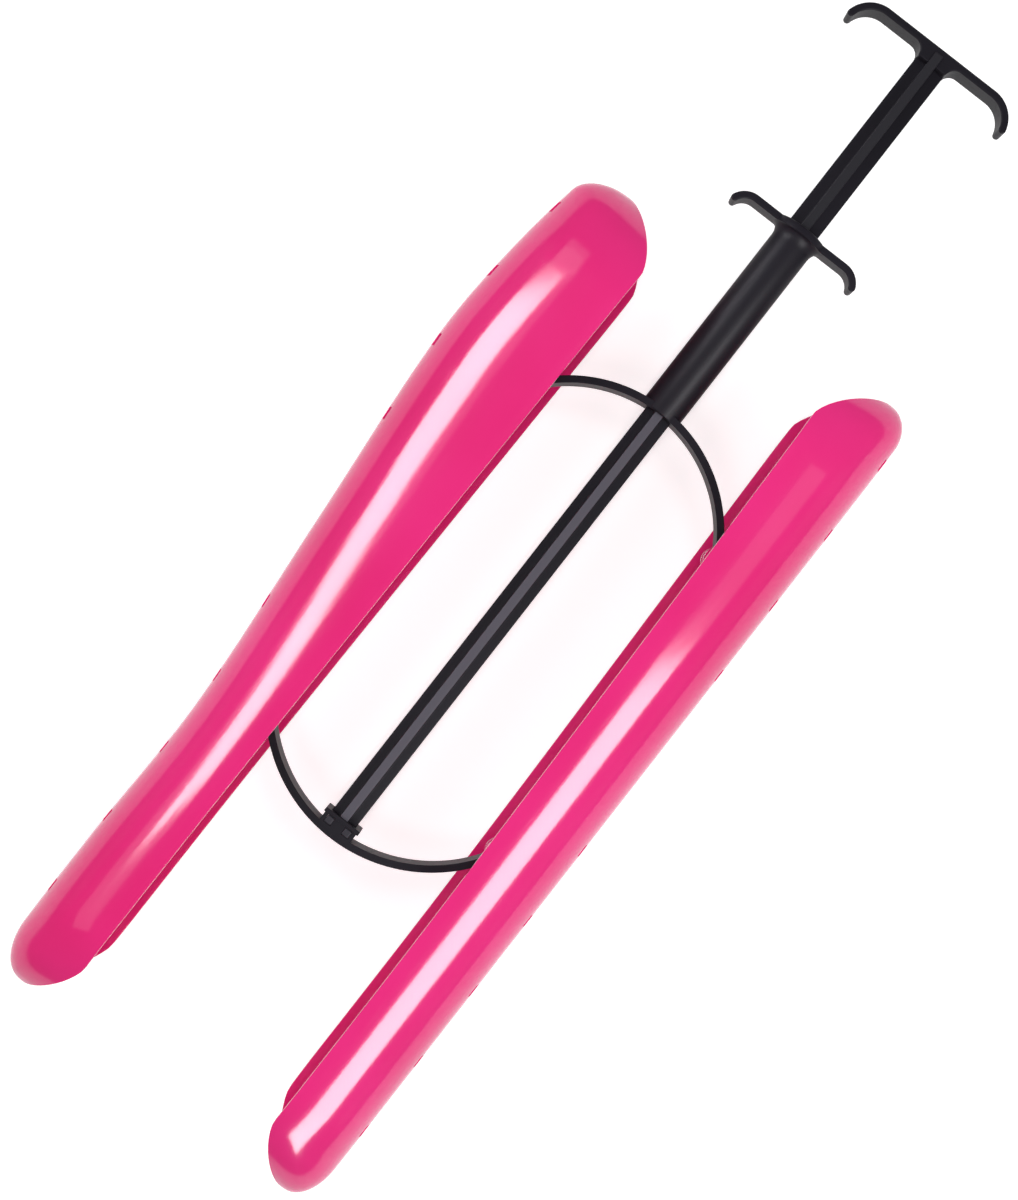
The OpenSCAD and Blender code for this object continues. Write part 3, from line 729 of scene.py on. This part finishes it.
def rod():
    """The rod, the wider stem above its step, and the palm bar."""
    foot = LOWER_BOW_BASE + BOW_T + SOCKET_FLOOR + SOCKET_GAP
    base = PALM_TOP - BAR_T
    main = cross_section(ROD_WIDTH, foot, STEP_AT, "rod_bar", "rod", ROD_BLACK_HIGHLIT)
    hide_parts("pull_rod")
    cross_section(STEM_WIDTH, STEP_AT, base + STEM_SUNK, "stem_bar", "rod", STEM_BLACK_HIGHLIT)
    half = hooked_outline(PALM_SPAN, PALM_HOOK_R, PALM_HOOK_ANGLE, PALM_TOP)
    w = STEM_WIDTH / 2
    centre = (w + PALM_FILLET_R, base - PALM_FILLET_R)
    half = half + arc(PALM_FILLET_R, 90, 180, 8, centre)
    bar_piece("palm_bar", half, "rod")


def lug_box(x_side, z_side, grow, inner):
    """Points and faces of the head of a snap lug, or of its window when grow is the clearance."""
    out = ROD_WIDTH / 2
    top = SOCKET_TOP - LIP_H - 2 * SOCKET_GAP
    rect = [(out - LUG_SIDE - grow, top - LUG_SIDE - grow), (out + grow, top - LUG_SIDE - grow),
            (out + grow, top + grow), (out - LUG_SIDE - grow, top + grow)]
    rect = [(x_side * x, y) for x, y in rect]
    outer = SOCKET_WIDTH / 2 + LUG_PROUD + grow
    return prism(rect, *sorted((z_side * inner, z_side * outer)))


def socket():
    """The socket with its lip and four windows, and the rod's snap lugs in them."""
    bow_top = LOWER_BOW_BASE + BOW_T
    w = SOCKET_WIDTH / 2
    hole = ROD_WIDTH / 2 + SOCKET_GAP
    top = SOCKET_TOP + LIP_OVER
    rows = [(hole, bow_top + SOCKET_FLOOR), (hole, top), (w + LIP_OUT, top),
            (w + LIP_OUT, SOCKET_TOP - LIP_H), (w, SOCKET_TOP - LIP_H), (w, bow_top - BOW_T / 2)]
    corners = ((1, 1), (-1, 1), (-1, -1), (1, -1))
    points = [(sx * r, y, sz * r) for r, y in rows for sx, sz in corners]
    faces = [(0, 1, 2, 3)]
    for i in range(len(rows) - 1):
        a, b = 4 * i, 4 * (i + 1)
        faces += [(a + k, a + (k + 1) % 4, b + (k + 1) % 4, b + k) for k in range(4)]
    last = 4 * (len(rows) - 1)
    faces.append((last, last + 1, last + 2, last + 3))
    windows = []
    for x_side, z_side, label in ((1, 1, "a"), (-1, 1, "b"), (1, -1, "c"), (-1, -1, "d")):
        window = lug_box(x_side, z_side, SOCKET_GAP, hole - WINDOW_DEPTH)
        windows.append(closed_mesh("window_" + label, *window))
        lug = new_piece("rod_lug_" + label, *lug_box(x_side, z_side, 0, 0), LUG_BLACK_HIGHLIT,
                        "handle_plastic", bevel=LUG_EDGE)
        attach(lug, "rod")
    piece = new_piece("lower_socket", points, faces, BLACK, "handle_plastic", bevel=SOCKET_EDGE,
                      segments=2, sharp=CURVED_EDGE_ANGLE, cutters=windows)
    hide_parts("lower_bow_hub")
    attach(piece, "rod")


build_shell(Shell("rear_shell", -1, CALF_OUTLINE, REAR_RIMS, REAR_TIP, REAR_NOSES, REAR_RISE))
build_shell(Shell("front_shell", 1, SHIN_OUTLINE, FRONT_RIMS, FRONT_TIP, FRONT_NOSES, 0))
tube()
rod()
socket()
for side, name in ((-1, "rear"), (1, "front")):
    bow_half(f"upper_bow_{name}", UPPER_CENTRE, UPPER_MID_R, UPPER_REACH, side, 1,
             f"upper_{name}_arm")
    bow_half(f"lower_bow_{name}", LOWER_CENTRE, LOWER_MID_R, LOWER_REACH, side, -1,
             f"lower_{name}_arm")


# Floor, lights and camera

def floor():
    """A pale floor that the camera sees as white, with the object's shadow kept."""
    mesh = bpy.data.meshes.new("floor")
    size = FLOOR_REACH
    mesh.from_pydata([(-size, -size, 0), (size, -size, 0), (size, size, 0), (-size, size, 0)], [],
                     [(0, 1, 2, 3)])
    obj = bpy.data.objects.new("floor", mesh)
    bpy.context.scene.collection.objects.link(obj)
    material, nodes, links, shader = new_material("pale_floor")
    shader.inputs["Base Color"].default_value = (FLOOR_TONE, FLOOR_TONE, FLOOR_TONE, 1)
    shader.inputs["Roughness"].default_value = FLOOR_ROUGHNESS
    path = add(nodes, "ShaderNodeLightPath")
    seen = add(nodes, "ShaderNodeMath", operation="MULTIPLY")
    seen.inputs[1].default_value = FLOOR_SEEN
    links.new(path.outputs["Is Camera Ray"], seen.inputs[0])
    in_gloss = add(nodes, "ShaderNodeMath", operation="MULTIPLY_ADD")
    in_gloss.inputs[1].default_value = FLOOR_GLOSSY
    links.new(path.outputs["Is Glossy Ray"], in_gloss.inputs[0])
    links.new(seen.outputs[0], in_gloss.inputs[2])
    white = add(nodes, "ShaderNodeEmission")
    links.new(in_gloss.outputs[0], white.inputs["Strength"])
    both = add(nodes, "ShaderNodeAddShader")
    links.new(shader.outputs[0], both.inputs[0])
    links.new(white.outputs[0], both.inputs[1])
    links.new(both.outputs[0], nodes["Material Output"].inputs["Surface"])
    mesh.materials.append(material)


def world():
    """White light, at one strength for what the camera sees and lower ones for the rest."""
    scene = bpy.context.scene
    scene.world = bpy.data.worlds.new("studio")
    scene.world.use_nodes = True
    nodes, links = scene.world.node_tree.nodes, scene.world.node_tree.links
    background = nodes["Background"]
    background.inputs["Color"].default_value = (1, 1, 1, 1)
    path = add(nodes, "ShaderNodeLightPath")
    gloss = add(nodes, "ShaderNodeMapRange")
    gloss.inputs["To Min"].default_value = SKY_DIFFUSE
    gloss.inputs["To Max"].default_value = SKY_GLOSSY
    links.new(path.outputs["Is Glossy Ray"], gloss.inputs["Value"])
    level = add(nodes, "ShaderNodeMapRange")
    level.inputs["To Max"].default_value = SKY_SEEN
    links.new(path.outputs["Is Camera Ray"], level.inputs["Value"])
    links.new(gloss.outputs["Result"], level.inputs["To Min"])
    links.new(level.outputs["Result"], background.inputs["Strength"])


def area_light(name, centre, target, width, length, power):
    """A broad lamp that lights the object but doesn't show in its gloss."""
    data = bpy.data.lights.new(name, "AREA")
    data.shape = "RECTANGLE"
    data.size, data.size_y = width, length
    data.energy = power
    lamp = bpy.data.objects.new(name, data)
    bpy.context.scene.collection.objects.link(lamp)
    lamp.location = centre
    look = (target - centre).normalized()
    side = Vector((0, 1, 0)).cross(-look).normalized()
    up = (-look).cross(side)
    lamp.rotation_euler = Matrix((side, up, -look)).transposed().to_euler()
    lamp.visible_glossy = False


def soft_box(name, angle, centre, width, length, twist, level):
    """A long soft box that only shines in reflections, on a plane that faces the middle.

    The plane leans by the angle from straight up towards +X, and centre is the box's place on it,
    across and along the rod.
    """
    lean, turn = math.radians(angle), math.radians(twist)
    out = Vector((math.sin(lean), 0, math.cos(lean)))
    across = Vector((math.cos(lean), 0, -math.sin(lean)))
    along = Vector((0, 1, 0))
    data = bpy.data.lights.new(name, "AREA")
    data.shape = "RECTANGLE"
    data.size, data.size_y = width * MM, length * MM
    data.energy = level * math.pi * data.size * data.size_y
    lamp = bpy.data.objects.new(name, data)
    bpy.context.scene.collection.objects.link(lamp)
    lamp.location = MIDDLE + (out * SOFT_BOX_AWAY + across * centre[0] + along * centre[1]) * MM
    x_axis = across * math.cos(turn) + along * math.sin(turn)
    y_axis = along * math.cos(turn) - across * math.sin(turn)
    lamp.rotation_euler = Matrix((x_axis, y_axis, out)).transposed().to_euler()
    lamp.visible_diffuse = False


def camera():
    """The photo's view, straight down on the object."""
    data = bpy.data.cameras.new("camera")
    data.sensor_fit = "VERTICAL"
    data.sensor_height = SENSOR_HEIGHT
    data.lens = SENSOR_HEIGHT * EYE[2] / VIEW_HEIGHT
    data.clip_end = CLIP_END
    eye = bpy.data.objects.new("camera", data)
    bpy.context.scene.collection.objects.link(eye)
    eye.location = place(*EYE)
    eye.rotation_euler = (0, 0, math.radians(EYE_TURN))
    bpy.context.scene.camera = eye


floor()
world()
camera()
for step, (high, low, across, width) in enumerate(REAR_STREAK):
    soft_box(f"rear_streak_{step}", REAR_LEAN, (across, (high + low) / 2), width, high - low, 0,
             REAR_STREAK_LEVEL)
for box in SOFT_BOXES:
    soft_box(*box)
for name, centre, width, length, power in LAMPS:
    area_light(name, place(*centre), MIDDLE, width, length, power)
bpy.context.scene.view_settings.view_transform = "Standard"
